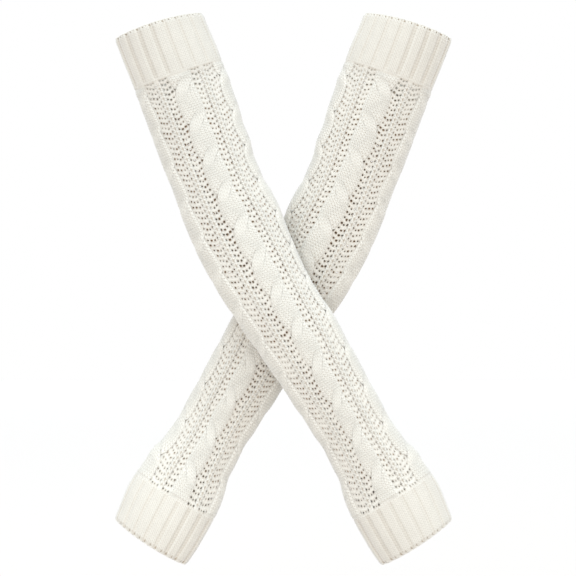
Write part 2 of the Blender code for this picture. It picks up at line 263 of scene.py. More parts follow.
def wool_yarn(name, top, deep, inside):
    """Matt spun wool: uneven in colour from ply to ply, with a soft halo of fibres."""
    material = bpy.data.materials.new(name)
    material.use_nodes = True
    tree = material.node_tree
    shader = tree.nodes["Principled BSDF"]
    for setting, value in (("Roughness", 0.85), ("IOR", 1.45), ("Specular IOR Level", 0.25),
                           ("Sheen Weight", 0.6), ("Sheen Roughness", 0.5)):
        shader.inputs[setting].default_value = value
    place = add_node(tree, "ShaderNodeTexCoord")

    def noise(scale, detail=2.0):
        return add_node(tree, "ShaderNodeTexNoise", values={"Scale": scale, "Detail": detail},
                        links=[(place.outputs["Object"], "Vector")]).outputs["Fac"]

    # dye and wear vary over about 25 mm, and the spinning over about 1 mm
    uneven = add_node(tree, "ShaderNodeMix", {"data_type": "FLOAT"}, {"Factor": 0.75},
                      [(noise(40.0), "A"), (noise(1000.0), "B")])
    brightness = add_node(
        tree, "ShaderNodeMapRange",
        values={"From Min": 0.25, "From Max": 0.75, "To Min": 0.9, "To Max": 1.07},
        links=[(uneven.outputs[0], "Value")])
    # painted shade: the groove value turns the yarn towards deep between stitches, and towards
    # inside, a warm tan that stands for the bounced light inside the tube
    groove = add_node(tree, "ShaderNodeAttribute", {"attribute_name": "groove"})
    colour = add_node(tree, "ShaderNodeValToRGB", links=[(groove.outputs["Fac"], "Fac")])
    stops = colour.color_ramp.elements
    stops.new(0.5)
    for stop, value in zip(stops, (top, deep, inside)):
        stop.color = from_hex(value)
    tinted = maths(tree, "SCALE", colour.outputs["Color"], brightness.outputs[0], "Vector")
    tree.links.new(tinted, shader.inputs["Base Color"])
    # hairs and plies stand about 0.1 mm off the yarn
    bump = add_node(tree, "ShaderNodeBump", values={"Strength": 0.5, "Distance": 0.00018},
                    links=[(noise(1800.0, 3.0), "Height")])
    tree.links.new(bump.outputs[0], shader.inputs["Normal"])
    return material


# the back warmer's yarn is the same wool as the front's, painted a little lighter to offset the
# shade it lies in behind the front warmer
YARN = {"front": wool_yarn("spun_wool_cream", "#dad6cd", "#ac9f8f", "#c9ae92"),
        "back": wool_yarn("spun_wool_cream_painted_lighter", "#dcd8cf", "#b1a391", "#ccb297")}
print("yarns:", [m.name for m in YARN.values()])

# %% [markdown]
# ## One stitch of each kind
# A knit stitch shows as a V of two legs, a purl stitch as a low bar, and a yarn-over as a hole
# with a rounded edge. Each is modelled once, one stitch wide and one row high, and its edges
# match its neighbours' so that copies join into cloth. Heights are in millimetres.

# %% Knit, purl and lace stitches
CHEVRON = 0.5  # the legs of a V rise by this share of a row
DIP = 0.5  # the small gap inside each V and beside it
# a column's rise, height at a row's start and height within it: between two stitches, on a leg
# of the V, inside the V, and on a purl stitch's bar
EDGE = (CHEVRON, -DIP, -0.12)
LEG = (CHEVRON / 2, 0.06, 0.32)
FOLD = (0.0, -DIP, 0.0)
BAR = (0.0, -0.2, 0.15)


def add_object(name, data):
    """An object in the scene that shows a mesh, a lamp or a camera."""
    thing = bpy.data.objects.new(name, data)
    bpy.context.scene.collection.objects.link(thing)
    return thing


def print_faces(*things):
    """Prints how many faces each object has."""
    for thing in things:
        print(thing.name, len(thing.data.polygons), "faces")


def new_mesh_object(name, points, faces):
    """A mesh object from points and faces."""
    mesh = bpy.data.meshes.new(name)
    mesh.from_pydata(points, [], faces)
    return add_object(name, mesh)


def grid_quads(wide, tall):
    """The quads of a grid that is this many points wide and tall."""
    return [(a, a + wide, a + wide + 1, a + 1)
            for row in range(tall - 1) for a in range(row * wide, row * wide + wide - 1)]


def stitch_patch(name, columns, rows):
    """A patch from columns (across, rise, height at a row's start, height within) and rows."""
    points = [(across, y - rise, at_start if y in (0, 1) else within)
              for y in rows for across, rise, at_start, within in columns]
    return new_mesh_object(name, points, grid_quads(len(columns), len(rows)))


def knit_columns(start):
    """The five columns of a knit stitch that starts this far across a wider patch."""
    return [(start + k / 4, *kind) for k, kind in enumerate((EDGE, LEG, FOLD, LEG, EDGE))]


def purl_columns(start):
    """The bar of a purl stitch and its far edge; the near one belongs to the stitch before."""
    return [(start + 0.5, *BAR), (start + 1.0, *EDGE)]


knit_stitch = stitch_patch("knit_stitch", knit_columns(0.0), (0, 0.3, 0.7, 1))
rib_stitches = stitch_patch(
    "rib_stitches",
    knit_columns(0.0) + knit_columns(1.0)[1:] + knit_columns(2.0)[1:] + purl_columns(3.0),
    (0, 0.5, 1),
)

HOLE_WIDE = 1.0  # a lace hole, in mm
HOLE_TALL = 1.15
HOLE_PITCH = 1.9  # from one hole to the next across, in mm
ROW_PITCH = 4.3  # and down
ROW_RIPPLE = 0.1  # plain cloth stands up by this between two rows
RIM_DEPTH = 0.5  # and is rolled in by this round a hole
EDGE_SPOTS = ((0, 0), (0.5, 0), (1, 0), (1, 0.5), (1, 1), (0.5, 1), (0, 1), (0, 0.5))


def lace_stitch():
    """A yarn-over: eight faces round a hole, its edge rolled in."""
    points = [(across, along, ROW_RIPPLE if along in (0, 1) else 0.0)
              for across, along in EDGE_SPOTS]
    for across, along in EDGE_SPOTS:
        angle = math.atan2(along - 0.5, across - 0.5)
        x = 0.5 + HOLE_WIDE / 2 / HOLE_PITCH * math.cos(angle)
        y = 0.5 + HOLE_TALL / 2 / ROW_PITCH * math.sin(angle)
        points.append((x, y, -RIM_DEPTH))
    faces = [(k, 8 + k, 8 + (k + 1) % 8, (k + 1) % 8) for k in range(8)]
    thing = new_mesh_object("yarn_over", points, faces)
    rim = thing.data.attributes.new("rim", "FLOAT", "POINT")
    rim.data.foreach_set("value", [0.0] * 8 + [1.0] * 8)
    return thing


yarn_over = lace_stitch()
print_faces(knit_stitch, rib_stitches, yarn_over)

# %% [markdown]
# ## Knitting a chart
# A machine repeats one stitch along a bed of needles. A Geometry Nodes tree does it here: a grid
# of points, a copy of the stitch on each, made real and merged where the edges meet. Hand-made
# holes are never all alike, so the tree moves and resizes each rim by a seeded random amount.
# The chart is then read as plain arrays.


# %% The knitting tree
HOLE_GROWTH = 6.0  # holes vary in size by this many times their unevenness


def knitting_tree():
    """Copies of a stitch over columns and rows, with uneven holes."""
    tree = bpy.data.node_groups.new("knit_a_chart", "GeometryNodeTree")
    face = tree.interface
    face.new_socket("Geometry", in_out="OUTPUT", socket_type="NodeSocketGeometry")
    for name, kind in (("Geometry", "Geometry"), ("Stitch", "Object"), ("Stitch width", "Float"),
                       ("Columns", "Int"), ("Rows", "Int"), ("Unevenness", "Float"),
                       ("Seed", "Int"), ("Yarn", "Material")):
        face.new_socket(name, in_out="INPUT", socket_type="NodeSocket" + kind)
    given = tree.nodes.new("NodeGroupInput").outputs
    long, tall = (maths(tree, "SUBTRACT", given[name], 1.0) for name in ("Columns", "Rows"))
    long = maths(tree, "MULTIPLY", long, given["Stitch width"])
    needles = add_node(tree, "GeometryNodeMeshGrid", links=[
        (long, "Size X"), (tall, "Size Y"),
        (given["Columns"], "Vertices X"), (given["Rows"], "Vertices Y")])
    stitch = add_node(tree, "GeometryNodeObjectInfo", links=[(given["Stitch"], "Object")])
    cloth = add_node(tree, "GeometryNodeInstanceOnPoints", links=[
        (needles.outputs["Mesh"], "Points"), (stitch.outputs["Geometry"], "Instance")])
    luck = add_node(tree, "FunctionNodeRandomValue", {"data_type": "FLOAT_VECTOR"},
                    {"Min": (-1.0, -1.0, -1.0)}, [(given["Seed"], "Seed")])
    where = tree.nodes.new("GeometryNodeInputPosition")
    for name, value in (("luck", luck), ("needle", where)):
        cloth = add_node(tree, "GeometryNodeStoreNamedAttribute",
                         {"data_type": "FLOAT_VECTOR", "domain": "INSTANCE"}, {"Name": name},
                         [(cloth.outputs[0], "Geometry"), (value.outputs[0], "Value")])
    rim, luck, needle = (
        add_node(tree, "GeometryNodeInputNamedAttribute", {"data_type": kind},
                 {"Name": name}).outputs[0]
        for name, kind in (("rim", "FLOAT"), ("luck", "FLOAT_VECTOR"), ("needle", "FLOAT_VECTOR")))
    # a rim moves by its luck across and down, and grows or shrinks by its luck upwards
    middle = maths(tree, "ADD", needle, (0.5, 0.5, 0.0), "Vector")
    from_middle = maths(tree, "SUBTRACT", where.outputs[0], middle, "Vector")
    upwards = add_node(tree, "ShaderNodeSeparateXYZ", links=[(luck, 0)]).outputs[2]
    growth = maths(tree, "MULTIPLY", upwards, HOLE_GROWTH)
    grown = maths(tree, "SCALE", from_middle, growth, "Vector")
    move = maths(tree, "ADD", luck, grown, "Vector")
    for share in (rim, given["Unevenness"]):
        move = maths(tree, "SCALE", move, share, "Vector")
    half = add_node(tree, "ShaderNodeCombineXYZ", links=[(long, 0), (tall, 1)]).outputs[0]
    from_corner = maths(tree, "SCALE", half, 0.5, "Vector")
    for kind, values, links in (
            ("RealizeInstances", {}, []),
            ("SetPosition", {}, [(move, "Offset")]),
            ("MergeByDistance", {"Distance": 0.0001}, []),
            ("Transform", {}, [(from_corner, "Translation")]),
            ("SetMaterial", {}, [(given["Yarn"], "Material")])):
        cloth = add_node(tree, "GeometryNode" + kind, values=values,
                         links=[(cloth.outputs[0], "Geometry"), *links])
    tree.links.new(cloth.outputs[0], tree.nodes.new("NodeGroupOutput").inputs[0])
    return tree


KNITTING = knitting_tree()


def numbers(items, name, width, kind=np.float64):
    """A property of many mesh elements as an array."""
    found = np.empty(len(items) * width, kind)
    items.foreach_get(name, found)
    return found.reshape(-1, width)


def knit_chart(stitch, columns, rows, width=1.0, unevenness=0.0, seed=0):
    """A flat chart of columns by rows of a stitch: its points, quads and rim values."""
    needle_bed = new_mesh_object("chart", [], [])
    modifier = needle_bed.modifiers.new("knitting", "NODES")
    modifier.node_group = KNITTING
    # the tree's inputs in their order, after the mesh itself
    inputs = [item for item in KNITTING.interface.items_tree if item.in_out == "INPUT"][1:]
    values = (stitch, width, columns, rows, unevenness, seed, YARN["front"])
    for item, value in zip(inputs, values):
        modifier[item.identifier] = value
    ready = needle_bed.evaluated_get(bpy.context.evaluated_depsgraph_get())
    chart = bpy.data.meshes.new_from_object(ready)
    points = numbers(chart.vertices, "co", 3)
    quads = numbers(chart.loops, "vertex_index", 1, np.int32).reshape(-1, 4)
    rim = np.zeros(len(points))
    if "rim" in chart.attributes:
        chart.attributes["rim"].data.foreach_get("value", rim)
    bpy.data.objects.remove(needle_bed)
    bpy.data.meshes.remove(chart)
    return points, quads, rim


def level_ends(points, rows):
    """The rows of a knit chart, with its first and last edge straight instead of zigzag."""
    rise = CHEVRON * np.abs(points[:, 0] % 1.0 - 0.5) * 2
    whole = points[:, 1] + rise
    return whole - rise * np.clip(np.minimum(whole, rows - whole), 0, 1)


LACE_ROWS = 82  # six or seven to each crossing of the cables
KNIT_ROWS = 2 * LACE_ROWS
CUFF_ROWS = 19
RIBS = 17
RIB_STITCHES = 4.0  # three knit and one purl
charts = {
    "strand": knit_chart(knit_stitch, 4, KNIT_ROWS),
    "ridge": knit_chart(knit_stitch, 2, KNIT_ROWS),
    "cuff": knit_chart(rib_stitches, RIBS, CUFF_ROWS, RIB_STITCHES),
}
for name, (points, quads, rim) in charts.items():
    print(name, "chart:", len(quads), "faces", points.min(0).round(2), points.max(0).round(2))

# %% [markdown]
# ## Closing the cloth
# A chart is a single skin. Real cloth has two faces and an edge, so each piece gets an inner
# face and a strip along every open edge, lace holes included. A map spreads both faces side by
# side for baking, and the groove value goes along for the yarn's colour.


# %% Shells
MERGE_GRID = 0.00002  # metres; points closer than this are the same
MAP_SIZE = (0.48, 0.98)  # one face's share of the baking map
MAP_CORNER, MAP_SHIFT = (0.01, 0.01), (0.5, 0.0)  # and where it and the inner face start


def open_edges(quads):
    """Edges used by one face only, each in its face's direction."""
    edges = np.concatenate([quads[:, [k, (k + 1) % 4]] for k in range(4)])
    key = np.sort(edges, axis=1).astype(np.int64)
    code = key[:, 0] * (int(quads.max()) + 1) + key[:, 1]
    found, first, uses = np.unique(code, return_index=True, return_counts=True)
    return edges[first[uses == 1]]


def merged(quads, *layers):
    """Joins points that lie on each other in the first layer, in all of the layers."""
    code = np.round(layers[0] / MERGE_GRID).astype(np.int64)
    found, first, number = np.unique(code, axis=0, return_index=True, return_inverse=True)
    return (number.reshape(-1)[quads], *[layer[first] for layer in layers])


def knit_object(name, points, quads, groove, places, yarn, sharp=None):
    """A mesh object from arrays: places are the corners' on the baking map, and the shading
    breaks along sharp points."""
    mesh = bpy.data.meshes.new(name)
    mesh.vertices.add(len(points))
    mesh.vertices.foreach_set("co", points.astype(np.float32).ravel())
    mesh.loops.add(quads.size)
    mesh.loops.foreach_set("vertex_index", quads.astype(np.int32).ravel())
    mesh.polygons.add(len(quads))
    mesh.polygons.foreach_set("loop_start", np.arange(0, quads.size, 4, dtype=np.int32))
    mesh.polygons.foreach_set("use_smooth", np.ones(len(quads), bool))
    mesh.update(calc_edges=True)
    if sharp is not None:
        spots = numbers(mesh.edges, "vertices", 2, np.int32)
        mesh.attributes.new("sharp_edge", "BOOLEAN", "EDGE").data.foreach_set(
            "value", sharp[spots].all(axis=1))
    layer = mesh.uv_layers.new(name="OFBake")
    layer.uv.foreach_set("vector", places.astype(np.float32).ravel())
    level = mesh.attributes.new("groove", "FLOAT", "POINT")
    level.data.foreach_set("value", np.clip(groove, 0, 1).astype(np.float32))
    mesh.materials.append(yarn)
    return add_object(name, mesh)


def shell(name, outer, inner, quads, groove, inner_groove, places, yarn, cut):
    """A closed cloth: outer face, inner face, and a strip along every open edge."""
    count = len(outer)
    rim = open_edges(quads)
    strip = np.stack((rim[:, 1], rim[:, 0], rim[:, 0] + count, rim[:, 1] + count), axis=1)
    places = places * MAP_SIZE + MAP_CORNER
    ends = np.zeros((count, 2))
    ends[quads.ravel()] = places
    ends = np.concatenate((ends, ends))
    return knit_object(
        name,
        np.concatenate((outer, inner)),
        np.concatenate((quads, quads[:, ::-1] + count, strip)),
        np.concatenate((groove, inner_groove)),
        np.concatenate((places, places.reshape(-1, 4, 2)[:, ::-1].reshape(-1, 2) + MAP_SHIFT,
                        ends[strip.ravel()])),
        yarn,
        np.concatenate((cut, cut)),
    )


print("shell helpers ready")

# %% [markdown]
# ## Ribbed cuffs
# Purl stitches sink between the knit ones and draw the cloth into seventeen ribs that grip the
# arm. Each rib outside is a groove inside. The last rows curl in to the bind-off, and the ribs
# flatten where the sleeve's stitches take over.

# %% Cuffs
RIB_HEIGHT = 1.1
RIB_HALF = 0.46  # half a rib, then its flank, as shares of a rib's repeat
RIB_FLANK = 0.16
WIDE_LOSS = 0.05  # a wide groove takes this off the rib
SHUT_HEIGHT = 0.35  # and one pressed shut lies this high
CUFF_WALL = 1.6
CUFF_RELIEF = 0.7  # stitches stand out by this share of their height
CURL, CURL_REACH = 1.5, 3.2  # a rim turns in, over this length
PINCH, PINCH_FROM, PINCH_TO = 0.8, 0.4, 1.7  # its depth and how far from the rim it is
RIB_REACH = 4.0  # ribs grow out of the join over this length
JOIN_HEIGHT = 0.75  # cuff and sleeve meet at this height, smooth
LIP, TUCK, TUCK_REACH = 0.3, 0.35, 0.8  # the cuff stands over it and is tucked in there
# painted shade, as groove values: between stitches, and inside the tube, lighter near a rim and
# darker farther in
GROOVE, GROOVE_DEPTH = 0.4, 0.3  # groove value between stitches, and how deep that is
INSIDE_CUFF, INSIDE = 0.12, 1.0  # and inside the cloth, near a rim and farther in
CUFF_LAP = 0.3  # its last row lies over the sleeve's first
# each cuff's start and end down the warmer, and where one groove lies round it
CUFFS = {"elbow": (0.0, ELBOW_CUFF_END + CUFF_LAP, 3.5),
         "wrist": (WRIST_CUFF_START - CUFF_LAP, LENGTH, -1.1)}


def rib_rise(share, units):
    """Height of the ribs, by the share of the way from one groove to the next. The grooves are
    wide on the tube's lower side and nearly pressed shut on its upper one."""
    wide = smooth_rise(0.25 - 1.5 * uphill(units))
    shut = SHUT_HEIGHT * (1 - wide)
    from_middle = np.abs(share % 1.0 - 0.5)
    flank = (RIB_HALF - WIDE_LOSS * wide - from_middle) / RIB_FLANK
    return shut + (RIB_HEIGHT - shut) * smooth_rise(flank)


def crease(relief):
    """The painted shade between stitches, as a groove value, by how high the cloth stands there.
    """
    return np.clip(0.0 - relief, 0, GROOVE_DEPTH) / GROOVE_DEPTH * GROOVE


def make_cuff(warmer, end):
    """One ribbed cuff as a closed cloth."""
    points, quads, rim = charts["cuff"]
    start, stop, groove_units = CUFFS[end]
    rows = level_ends(points, CUFF_ROWS)
    down = start + rows / CUFF_ROWS * (stop - start)
    from_rim = down - start if end == "elbow" else stop - down
    rounded = CURL * np.clip(1 - from_rim / CURL_REACH, 0, 1) ** 2
    # ribs are counted from the middle of the purl stitch
    share = (points[:, 0] - 3.5) / RIB_STITCHES
    units = groove_units + share / RIBS * ROUND_UNITS
    join = stop - start - from_rim
    ribbed = smooth_rise(join / RIB_REACH)
    ribs = rib_rise(share, units)
    rise = JOIN_HEIGHT + LIP
    rise = rise + (ribs - rise) * ribbed
    rise = rise - TUCK * (1 - smooth_rise(join / TUCK_REACH))
    relief = CUFF_RELIEF * points[:, 2]
    inner = onto_tube(down, units, rise - CUFF_WALL - relief - 0.5 * rounded, warmer)
    # the bind-off pinches the edge between every two stitches
    pinch = (from_rim > PINCH_FROM) & (from_rim < PINCH_TO) & (abs(points[:, 0] % 2 - 1) < 0.1)
    outer = onto_tube(down, units, rise + relief - rounded - PINCH * pinch, warmer)
    # painted shade between the ribs: lighter on the tube's upper side, where the lamps above light
    # the nearly shut grooves
    shade = 0.05 - 0.03 * uphill(units)
    between_ribs = (1 - ribs / RIB_HEIGHT) * ribbed
    # the groove value: 0.06 throughout, with painted shade between stitches, between the ribs and
    # in the bind-off's pinches
    deep = 0.06 + crease(relief) * 0.6 + shade * between_ribs + 0.6 * pinch
    quads = facing_out(quads, warmer)
    places = np.stack((points[:, 0] / RIB_STITCHES / RIBS, rows / CUFF_ROWS), axis=1)
    places = places[quads.ravel()]
    quads, outer, inner, deep, join = merged(quads, outer, inner, deep, join)
    return shell(f"{warmer}_{end}_ribbing", outer, inner, quads, deep,
                 np.full_like(deep, INSIDE_CUFF), places, YARN[warmer], join < 0.001)


cuffs = {(warmer, end): make_cuff(warmer, end) for warmer in WARMERS for end in CUFFS}
print_faces(*cuffs.values())

# %% [markdown]
# ## The sleeve's ground: lace and plain cloth
# Between the cables runs a ridge with columns of yarn-overs on each side, four of them in front
# and six at the back. Every row of lace sags beside its ridge and climbs to its cable, in
# scallops, and leans after a cable that is drawn in at a crossing.

# %% Rows, scallops and crossings
SLEEVE_LAP = 0.3  # the sleeve's first and last rows lie under the cuffs
SLEEVE_START = ELBOW_CUFF_END - SLEEVE_LAP
SLEEVE_END = WRIST_CUFF_START + SLEEVE_LAP
# rows of lace knitted by each distance down: a little tighter at the elbow than at the wrist
TENSION = np.array((
    (0.0, SLEEVE_START), (1.0, 43.05),
    *zip((5.3, 10.36, 15.24, 19.93, 24.67, 29.2, 33.8, 38.35, 42.65, 47.1, 51.42, 55.56, 59.8,
          64.35, 68.8, 73.1, 77.5), range(60, 400, 20)),
    (LACE_ROWS, SLEEVE_END),
))
# how the pattern creeps round the tube, in units, and by what share its front grows wider
CREEP = np.array((
    (40, -1.3, 0.01), (60, -1.3, 0.01), (90, -1.1, 0.01), (120, -0.8, 0.0), (150, -0.7, 0.0),
    (180, -0.4, 0.02), (210, 0.1, 0.03), (240, 0.9, 0.035), (270, 2.2, 0.01), (300, 3.4, -0.005),
    (330, 1.8, -0.05), (360, 0.9, -0.05), (402, 0.6, -0.08),
))
WIDEN_UNITS = 23.9  # with this a front ridge moves out by that share of its own distance
# how far the courses lie below the ridge's, in mm, by distance from the ridge in units
SAG_AT = (0.0, 2.1, 2.9, 4.3, 5.9, 7.3, 9.0, 10.4, 12.0, 13.4, 14.3, 25.0)
SAG = (0.6, 0.2, 0.0, 0.0, 0.85, 0.85, -0.2, -0.2, -1.4, -1.4, -1.8, -1.8)


def row_down(rows, total):
    """How far down the warmer each row lies."""
    return read_table(TENSION, np.clip(rows / total, 0, 1) * LACE_ROWS)[1]


def crept(down, units):
    """Where a column of the sleeve's chart comes to lie round the tube."""
    place, shift, widen = read_table(CREEP, down)
    return units + shift + widen * WIDEN_UNITS * np.sin(units * 4 * math.pi / ROUND_UNITS)


def from_crossing(down):
    """Which crossing is nearest, and how far it is in repeats."""
    crossings = course(down)["crossings"]
    nearest = np.floor(crossings + 0.5)
    return nearest, crossings - nearest


def away_from_cuffs(down, over):
    """0 where the sleeve joins a cuff, 1 from a distance of over mm."""
    return smooth_rise(np.minimum(down - SLEEVE_START, SLEEVE_END - down) / over)


def drawn_in_at(down):
    """1 at a crossing, where a cable is narrowest, and 0 halfway to the next."""
    wave = 0.5 + 0.5 * np.cos(2 * math.pi * from_crossing(down)[1])
    return wave**1.5 * fade_at(down)


def sagged(rows, total, from_ridge):
    """Distance down the warmer of rows that sag between ridge and cable."""
    down = row_down(rows, total)
    near_end = np.clip(np.minimum(rows, total - rows) / total * LACE_ROWS, 0, 1)
    down = down + np.interp(from_ridge, SAG_AT, SAG) * smooth_rise(near_end)
    return np.clip(down, SLEEVE_START, SLEEVE_END)


print("first rows at", row_down(np.arange(4.0), LACE_ROWS).round(1), "mm down")

# %% [markdown]
# Each strip runs from a ridge to a cable: a little plain cloth under the ridge, then the holes,
# then plain cloth under the cable. Every point is sagged, drawn in, crept round and laid on the
# tube, once for the outer face and, one wall deeper, for the inner one.

# %% Ground cloth
GROUND_WALL = 1.0
LACE_HEIGHT = 0.15
SINK = 0.3  # the ground sinks by this under cables and ridges
SETTLE = 5.0  # lace, cables and ridges rise from the join over this length
# painted shade, as groove values: a little on all the lace, round each hole's rim, and near the
# cuffs
LACE_GROOVE, RIM_GROOVE, JOIN_GROOVE = 0.04, 0.2, 0.12
# units from the ridge's middle to the lace, to where it ends and to the cable's middle
LACE_FROM, LACE_TO, GROUND_TO = 2.05, 14.25, 25.0
PLAIN = ((0.0, LACE_FROM), (LACE_TO, 16.0, 18.5, GROUND_TO))
# the holes beside each ridge (its number and side) that aren't stretched like the others
STRETCH = {(0, -1): 0.88, (0, 1): 0.7, (3, -1): 0.9, (3, 1): 1.12}
NARROW_GAP = 29.0  # a ridge this near to a cable has room for four columns, else for six
# at a crossing the lace leans after the cable: by units, and its share across the strip
LEAN, LEAN_AT, LEAN_BY = 1.8, (5.0, LACE_TO, 17.0, 21.0), (0.0, 1.0, 0.6, 0.0)
# where the arm is slim the holes draw together: their size by the width of a unit in mm
OPEN_AT, OPEN_BY = (0.60, 0.76), (0.80, 1.05)
lace_charts = {columns: knit_chart(yarn_over, columns, LACE_ROWS, unevenness=0.05, seed=11)
               for columns in (4, 6)}


def ground_strips(columns, tight):
    """Chart pieces from a ridge's middle to a cable's, as (from ridge, row, height)."""
    points, quads, rim = lace_charts[columns]
    middle = np.floor(points[:, :2]) + 0.5
    unit = girth_at(row_down(middle[:, 1], LACE_ROWS)) / ROUND_UNITS
    open_by = tight * np.interp(unit, OPEN_AT, OPEN_BY)
    smaller = middle + (points[:, :2] - middle) * open_by[:, None]
    flat = np.where(rim[:, None] > 0.5, smaller, points[:, :2])
    across = LACE_FROM + flat[:, 0] / columns * (LACE_TO - LACE_FROM)
    yield np.stack((across, flat[:, 1], points[:, 2]), axis=1), quads, rim
    # plain strips, whose ripples match the lace's edge
    rows = np.arange(2 * LACE_ROWS + 1) / 2
    for spots in PLAIN:
        points = np.array([(x, y, ROW_RIPPLE if y % 1 == 0 else 0.0) for y in rows for x in spots])
        yield points, np.array(grid_quads(len(spots), len(rows))), np.zeros(len(points))


def ground_patches():
    """Every patch round the tube: its ridge, which side of it, how far away the cable's middle
    is, and the patch's points, quads and rim values."""
    around = (*CABLES, CABLES[0] + ROUND_UNITS)
    for number, ridge in enumerate(RIDGES):
        for side, gap in ((1, around[number + 1] - ridge), (-1, ridge - around[number])):
            columns = 4 if gap < NARROW_GAP else 6
            for patch in ground_strips(columns, STRETCH.get((number, side), 1.0)):
                yield ridge, side, gap, *patch


def make_ground(warmer):
    """The lace and plain cloth of a sleeve, all the way round, as one closed cloth."""
    layers = []
    first = 0
    for ridge, side, gap, points, quads, rim in ground_patches():
        from_ridge, rows = points[:, 0], points[:, 1]
        down = sagged(rows, LACE_ROWS, from_ridge)
        lace_to = LACE_TO if gap < NARROW_GAP else LACE_TO + gap - GROUND_TO
        spread = np.interp(from_ridge, (0, LACE_FROM, LACE_TO, GROUND_TO),
                           (0, LACE_FROM, lace_to, gap))
        lean = LEAN * drawn_in_at(down) * np.interp(from_ridge, LEAN_AT, LEAN_BY)
        units = crept(down, ridge + side * (spread + lean))
        base = LACE_HEIGHT - SINK * smooth_rise((from_ridge - 14.5) / 4)
        base = base - SINK * smooth_rise(1 - from_ridge / LACE_FROM)
        join = JOIN_HEIGHT + 0.05
        base = join + (base - join) * away_from_cuffs(down, SETTLE)
        relief = points[:, 2] * away_from_cuffs(down, 0.3)
        faces = facing_out(quads, warmer, side)
        places = np.stack((units / ROUND_UNITS, rows / LACE_ROWS), axis=1)
        # painted shade: a little on the lace, more round each hole and near the cuffs; inside the
        # tube, darker and warmer farther from the cuffs
        layers.append((
            onto_tube(down, units, base + relief, warmer),
            onto_tube(down, units, base - GROUND_WALL - relief, warmer),
            LACE_GROOVE + RIM_GROOVE * rim + JOIN_GROOVE * (1 - away_from_cuffs(down, 3.0)),
            INSIDE_CUFF + (INSIDE - INSIDE_CUFF) * away_from_cuffs(down, 30.0),
            away_from_cuffs(down, 1.0) < 0.0001,
            faces + first,
            places[faces.ravel()],
        ))
        first += len(points)
    outer, inner, deep, warm, cut, quads, places = (np.concatenate(p) for p in zip(*layers))
    quads, outer, inner, deep, warm, cut = merged(quads, outer, inner, deep, warm, cut)
    return shell(f"{warmer}_lace_ground", outer, inner, quads, deep, warm, places,
                 YARN[warmer], cut)


grounds = {warmer: make_ground(warmer) for warmer in WARMERS}
print_faces(*grounds.values())

# %% [markdown]
# ## Rope cables and ridges
# A cable is two bands of four knit stitches side by side. Every thirteen rows or so they change
# places within a few rows, one carried over the other. Each band is modelled whole, so the
# crease at a crossing is real. The ridges are bands of two stitches that run straight down.

# %% Bands of knit stitches
CABLE_WIDTH = 0.95  # a cable's width, and how much of it is lost at a crossing on each side
DRAWN_LEFT, DRAWN_RIGHT = 0.17, 0.08
CABLE_HEIGHT = 2.1
CABLE_EDGE = 12.6  # units from its middle, where a cable has come down to the ground
REPEAT = 29.0  # mm from one crossing to the next
CROSSING_LIFT = 0.2  # the strand on top rises by this and rounds off at its edges
EDGE_ROUND = 0.4
CROSSING_DIP = 0.6  # and the one below dips towards it, and then under it
TUCKED_DIP = 0.7
SIDE_FLAT = 0.6  # the side cables dip less by this share, and round off by more
SIDE_ROUND = 0.4
CROSSING_TILT = 3.0  # mm by which the rows of a strand slant as it crosses
CROSSING_REACH = 0.32  # a crossing shows over this share of a repeat, each way
# places of the strands' edges by distance from a crossing in repeats: the upper one's left and
# right edge, then the lower one's
EDGES = (
    ((-0.50, -0.40, -0.31, -0.17, -0.02, 0.06, 0.50), (0.0, 1.5, 3.2, -3.3, -9.8, -12.2, -12.2)),
    ((-0.50, -0.22, -0.15, -0.03, 0.10, 0.20, 0.30, 0.40, 0.50),
     (12.2, 12.2, 11.7, 7.5, 3.2, -1.0, -2.5, -1.2, 0.0)),
    ((-0.50, -0.08, 0.0, 0.10, 0.20, 0.30, 0.40, 0.50),
     (-12.2, -12.2, -8.0, 0.2, -3.6, -3.6, -1.6, 0.0)),
    ((-0.50, -0.40, -0.31, -0.22, -0.15, -0.06, 0.50),
     (0.0, 1.9, 4.2, 5.5, 11.0, 12.2, 12.2)),
)
BAND_FLOOR = -0.5  # height of a band's underside
BAND_TUCK = 0.3  # the ends of bands are tucked in by this under the cuffs
# painted shade, as groove values: on a band's underside, and at the elbow where the bands go under
# the cuff
UNDER_GROOVE, ELBOW_SHADE = 0.2, 0.14
RIDGE_HALF_UNITS = 2.9
RIDGE_HEIGHT, RIDGE_DOME = 0.3, 0.5
RIDGE_TURN = math.radians(70)  # its stitches wrap round it, this far on each side
# a dimple's depth, its width and the painted shade in it
DIMPLE, DIMPLE_WIDE, DIMPLE_GROOVE = 1.0, 0.25, 0.5  # one at each row of lace


def band_chart(chart):
    """A chart's points and quads, with two more rows of points for the band's underside."""
    points, quads, rim = chart
    sides = []
    for edge in (0, points[:, 0].max()):
        side = np.flatnonzero(np.abs(points[:, 0] - edge) < 0.001)
        sides.append(side[np.argsort(points[side, 1])])
    left, right = sides
    under_left = np.arange(len(left)) + len(points)
    under_right = under_left + len(left)
    under = [(a[:-1], b[:-1], b[1:], a[1:]) for a, b in
             ((left, under_left), (under_left, under_right), (under_right, right))]
    under = np.concatenate([np.stack(faces, axis=1)[:, ::-1] for faces in under])
    points = np.concatenate((points, points[left], points[right]))
    is_under = np.zeros(len(points), bool)
    is_under[under_left[0]:] = True
    return points, np.concatenate((quads, under)), is_under


def close_ends(thing):
    """Fills the open ends of a band."""
    work = bmesh.new()
    work.from_mesh(thing.data)
    loose = [edge for edge in work.edges if edge.is_boundary]
    bmesh.ops.holes_fill(work, edges=loose, sides=0)
    work.to_mesh(thing.data)
    work.free()


def band_relief(points, is_under, down):
    """How far a band's stitches stand out: not at all at its ends and on its underside."""
    return np.where(is_under, 0, points[:, 2]) * away_from_cuffs(down, 1.0)


